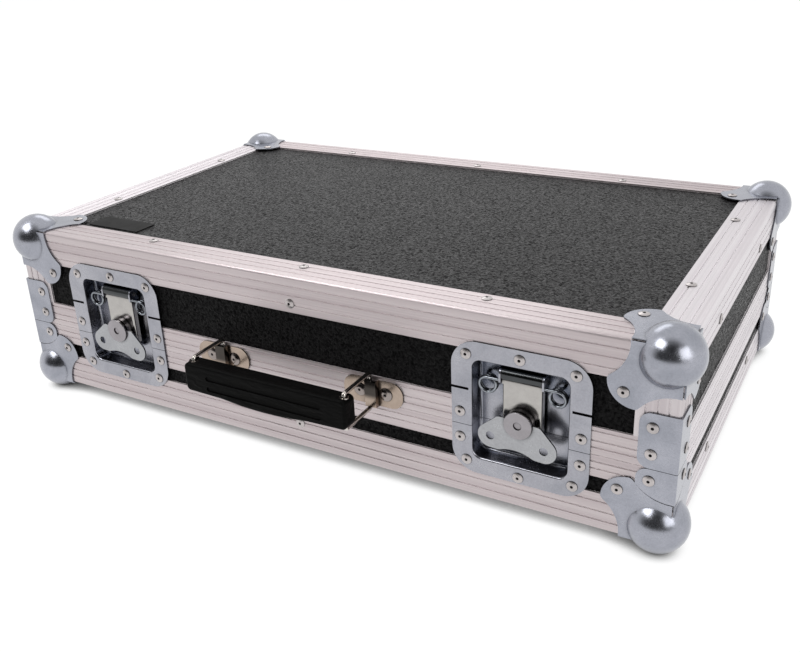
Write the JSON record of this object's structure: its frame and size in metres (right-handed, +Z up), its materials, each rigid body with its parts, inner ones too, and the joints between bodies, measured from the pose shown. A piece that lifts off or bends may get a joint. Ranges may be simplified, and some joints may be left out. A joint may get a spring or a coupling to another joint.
{
  "type": "flight case",
  "caption": "Low black flight case with aluminium edges, steel ball corners, recessed butterfly latches, a folding front handle and a rear-hinged, foam-lined lid.",
  "frame": {"origin": "on the floor, under the middle of the bounding box, with the handle straight out", "axes": "+X from left to right along the front, +Y from the front to the rear, +Z up"},
  "size_m": [0.6248, 0.4266, 0.1719],
  "materials": {
    "black_laminate": "black laminate with a fine leather grain",
    "aluminium": "mill-finished extrusion, lightly anodised, with drawing lines",
    "zinc_steel": "bright bluish zinc plating on pressed steel",
    "nickel": "polished nickel plating",
    "rivet_steel": "plain plated blind rivets",
    "black_plastic": "moulded soft-touch black plastic",
    "black_label": "satin black plate, left bare",
    "foam": "dark grey open-cell foam"
  },
  "bodies": {
    "base": {"base_floor_panel": "black_laminate", "base_front_panel": "black_laminate", "base_rear_panel": "black_laminate", "base_side_panels": "black_laminate", "base_front_angle": "aluminium", "base_rear_angle": "aluminium", "base_side_angles": "aluminium", "base_corner_angles": "aluminium", "base_front_rim": "aluminium", "base_rear_rim": "aluminium", "base_side_rims": "aluminium", "base_ball_corners": "zinc_steel", "base_corner_braces": "zinc_steel", "base_rivets": "rivet_steel", "left_catch_dish": "zinc_steel", "right_catch_dish": "zinc_steel", "catch_plates": "zinc_steel", "base_hinge_leaves": "zinc_steel", "hinge_pins": "nickel", "base_foam": "foam"},
    "lid": {"lid_top_panel": "black_laminate", "lid_front_panel": "black_laminate", "lid_rear_panel": "black_laminate", "lid_side_panels": "black_laminate", "lid_front_angle": "aluminium", "lid_rear_angle": "aluminium", "lid_side_angles": "aluminium", "lid_corner_angles": "aluminium", "lid_front_rim": "aluminium", "lid_rear_rim": "aluminium", "lid_side_rims": "aluminium", "lid_ball_corners": "zinc_steel", "lid_corner_braces": "zinc_steel", "lid_rivets": "rivet_steel", "left_latch_dish": "zinc_steel", "right_latch_dish": "zinc_steel", "left_latch_spring": "nickel", "right_latch_spring": "nickel", "latch_hinge_pins": "nickel", "lid_hinge_leaves": "zinc_steel", "handle_plates": "nickel", "handle_rivets": "nickel", "label_plate": "black_label", "lid_foam": "foam"},
    "left_latch_arm": {"left_arm": "nickel"},
    "left_latch_butterfly": {"left_stud": "nickel", "left_wing": "zinc_steel"},
    "left_latch_claw": {"left_claw": "zinc_steel"},
    "right_latch_arm": {"right_arm": "nickel"},
    "right_latch_butterfly": {"right_stud": "nickel", "right_wing": "zinc_steel"},
    "right_latch_claw": {"right_claw": "zinc_steel"},
    "left_handle_ring": {"left_ring": "nickel"},
    "right_handle_ring": {"right_ring": "nickel"},
    "handle_grip": {"grip": "black_plastic", "grip_fittings": "nickel"}
  },
  "joints": [
    {"name": "lid_hinge", "type": "hinge", "parent": "base", "child": "lid", "pos_m": [0, 0.2074, 0.0699], "axis": [-1, 0, 0], "range_deg": [0, 100]},
    {"name": "left_arm_hinge", "type": "hinge", "parent": "lid", "child": "left_latch_arm", "pos_m": [-0.1915, -0.1599, 0.1142], "axis": [-1, 0, 0], "range_deg": [-3, 30], "stiffness_Nm_per_rad": 0.05},
    {"name": "left_wing_turn", "type": "hinge", "parent": "left_latch_arm", "child": "left_latch_butterfly", "pos_m": [-0.1915, -0.1679, 0.0803], "axis": [0, 1, 0], "range_deg": [0, 180]},
    {"name": "left_claw_slide", "type": "slide", "parent": "left_latch_arm", "child": "left_latch_claw", "axis": [0, 0, 1], "range_m": [-0.006, 0]},
    {"name": "right_arm_hinge", "type": "hinge", "parent": "lid", "child": "right_latch_arm", "pos_m": [0.1915, -0.1599, 0.1142], "axis": [-1, 0, 0], "range_deg": [-3, 30], "stiffness_Nm_per_rad": 0.05},
    {"name": "right_wing_turn", "type": "hinge", "parent": "right_latch_arm", "child": "right_latch_butterfly", "pos_m": [0.1915, -0.1679, 0.0803], "axis": [0, 1, 0], "range_deg": [0, 180]},
    {"name": "right_claw_slide", "type": "slide", "parent": "right_latch_arm", "child": "right_latch_claw", "axis": [0, 0, 1], "range_m": [-0.006, 0]},
    {"name": "handle_swing", "type": "hinge", "parent": "lid", "child": "left_handle_ring", "pos_m": [-0.0705, -0.1693, 0.0804], "axis": [0, 0, 1], "range_deg": [-70, 70]},
    {"name": "right_ring_swing", "type": "hinge", "parent": "lid", "child": "right_handle_ring", "pos_m": [0.0705, -0.1693, 0.0804], "axis": [0, 0, 1], "range_deg": [-70, 70]},
    {"name": "grip_pivot", "type": "hinge", "parent": "left_handle_ring", "child": "handle_grip", "pos_m": [-0.0705, -0.2058, 0.0804], "axis": [0, 0, 1], "range_deg": [-70, 70]}
  ],
  "couplings": [
    {"joint": "left_wing_turn", "follows": "left_claw_slide", "rad_per_m": -523.6},
    {"joint": "right_wing_turn", "follows": "right_claw_slide", "rad_per_m": -523.6},
    {"joint": "right_ring_swing", "follows": "handle_swing", "ratio": 1},
    {"joint": "grip_pivot", "follows": "handle_swing", "ratio": -1}
  ]
}
